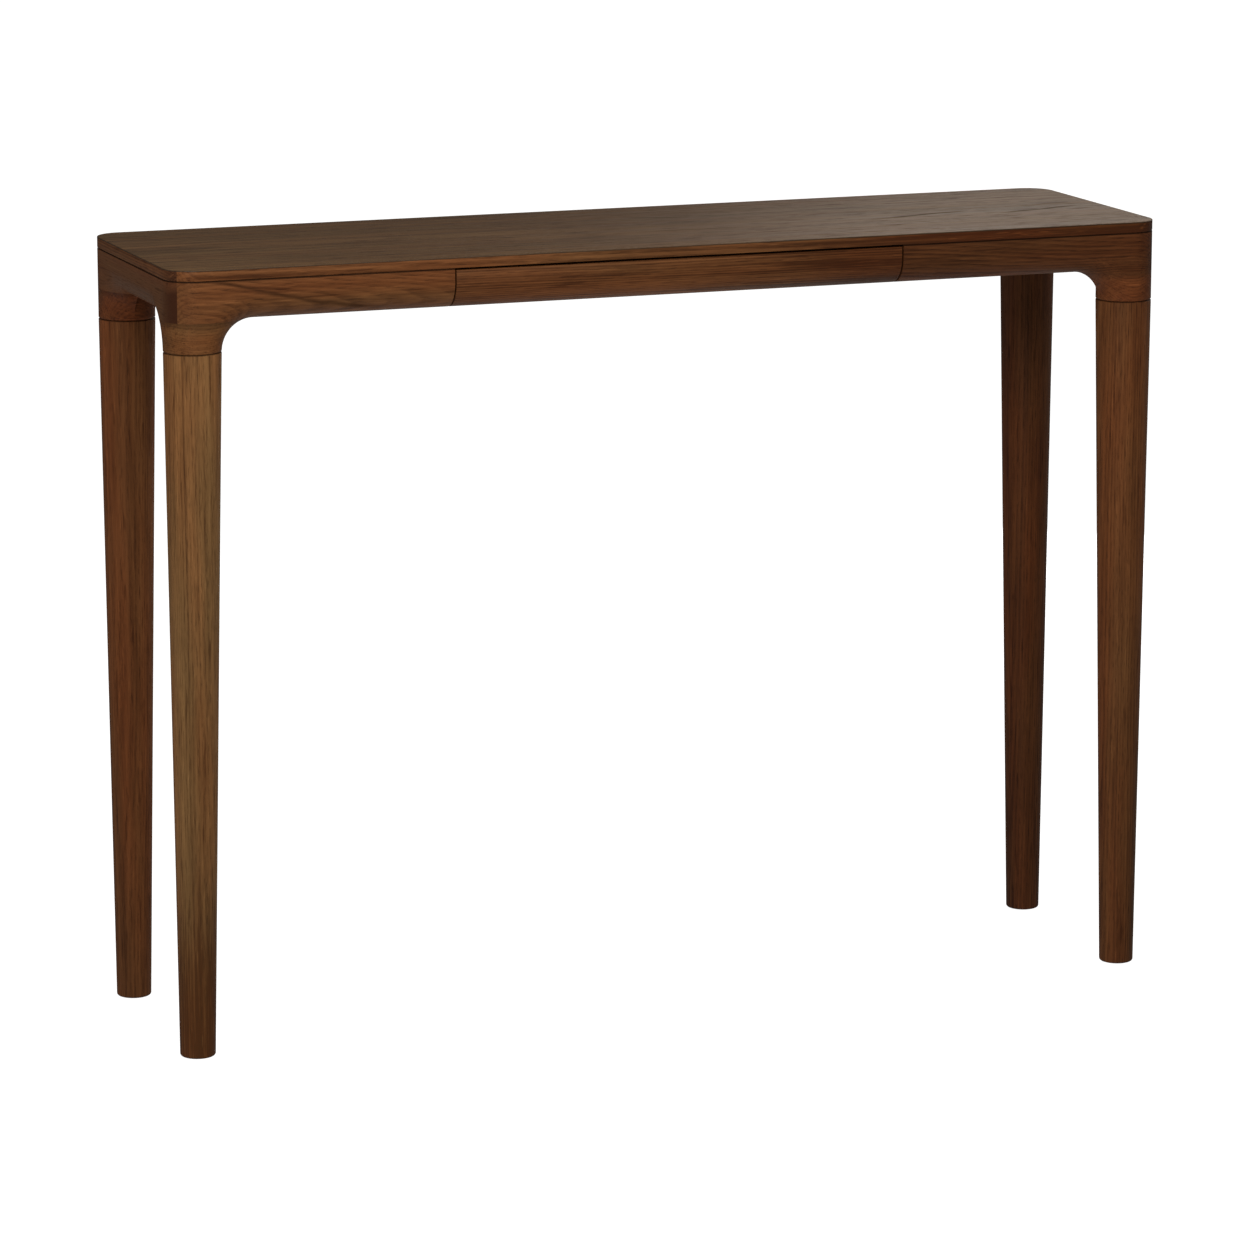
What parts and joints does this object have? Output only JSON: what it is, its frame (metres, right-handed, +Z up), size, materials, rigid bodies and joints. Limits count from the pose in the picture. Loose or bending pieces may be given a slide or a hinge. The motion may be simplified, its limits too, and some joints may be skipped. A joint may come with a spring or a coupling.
{
  "type": "console table",
  "caption": "Slim wooden console table with a thin rounded top, one flush drawer opened from below and round tapered legs on arched heads.",
  "frame": {"origin": "on the floor, under the middle of the table", "axes": "+X along the length, -Y towards the user and the way the drawer opens, +Z up"},
  "size_m": [1.2, 0.334, 0.9],
  "materials": {
    "top_veneer": "brown stained oak veneer, matt lacquer, slightly greyed",
    "core_board": "raw fibreboard core",
    "lipping_oak": "brown stained solid oak, matt lacquer",
    "rail_oak": "brown stained solid oak, matt lacquer",
    "end_oak": "dark reddish brown stained solid oak, matt lacquer",
    "head_oak": "brown stained solid oak, matt lacquer",
    "leg_oak": "turned brown stained oak, open pores, matt lacquer",
    "drawer_front_oak": "brown stained solid oak, matt lacquer",
    "drawer_oak": "stained oak, thin matt lacquer",
    "inner_oak": "stained oak, unlacquered",
    "zinc_steel": "zinc plated",
    "glide_nylon": "dark moulded nylon"
  },
  "bodies": {
    "frame": {"top_veneer": "top_veneer", "top_core": "core_board", "lipping_front": "lipping_oak", "lipping_back": "lipping_oak", "lipping_left": "lipping_oak", "lipping_right": "lipping_oak", "front_rail_left": "rail_oak", "front_rail_right": "rail_oak", "back_rail": "rail_oak", "end_rail_left": "end_oak", "end_rail_right": "end_oak", "leg_head_front_left": "head_oak", "corner_block_front_left": "inner_oak", "leg_front_left": "leg_oak", "glide_front_left": "glide_nylon", "leg_bolt_front_left": "zinc_steel", "leg_insert_front_left": "zinc_steel", "leg_head_front_right": "head_oak", "corner_block_front_right": "inner_oak", "leg_front_right": "leg_oak", "glide_front_right": "glide_nylon", "leg_bolt_front_right": "zinc_steel", "leg_insert_front_right": "zinc_steel", "leg_head_back_left": "head_oak", "corner_block_back_left": "inner_oak", "leg_back_left": "leg_oak", "glide_back_left": "glide_nylon", "leg_bolt_back_left": "zinc_steel", "leg_insert_back_left": "zinc_steel", "leg_head_back_right": "head_oak", "corner_block_back_right": "inner_oak", "leg_back_right": "leg_oak", "glide_back_right": "glide_nylon", "leg_bolt_back_right": "zinc_steel", "leg_insert_back_right": "zinc_steel", "slide_rail_left": "zinc_steel", "slide_rail_right": "zinc_steel", "drawer_bearer_left": "inner_oak", "drawer_bearer_right": "inner_oak", "top_screw_left_1": "zinc_steel", "top_screw_left_2": "zinc_steel", "top_screw_right_1": "zinc_steel", "top_screw_right_2": "zinc_steel"},
    "drawer": {"drawer_front": "drawer_front_oak", "drawer_side_left": "drawer_oak", "drawer_side_right": "drawer_oak", "drawer_back": "drawer_oak", "drawer_bottom": "drawer_oak", "slide_runner_left": "zinc_steel", "slide_runner_right": "zinc_steel"},
    "ball_cage_left": {"slide_ball_cage_left": "zinc_steel"},
    "ball_cage_right": {"slide_ball_cage_right": "zinc_steel"}
  },
  "joints": [
    {"name": "drawer_slide", "type": "slide", "parent": "frame", "child": "drawer", "axis": [0, -1, 0], "range_m": [0, 0.18]},
    {"name": "ball_cage_left_slide", "type": "slide", "parent": "frame", "child": "ball_cage_left", "axis": [0, -1, 0], "range_m": [0, 0.09]},
    {"name": "ball_cage_right_slide", "type": "slide", "parent": "frame", "child": "ball_cage_right", "axis": [0, -1, 0], "range_m": [0, 0.09]}
  ],
  "couplings": [
    {"joint": "ball_cage_left_slide", "follows": "drawer_slide", "ratio": 0.5},
    {"joint": "ball_cage_right_slide", "follows": "drawer_slide", "ratio": 0.5}
  ]
}
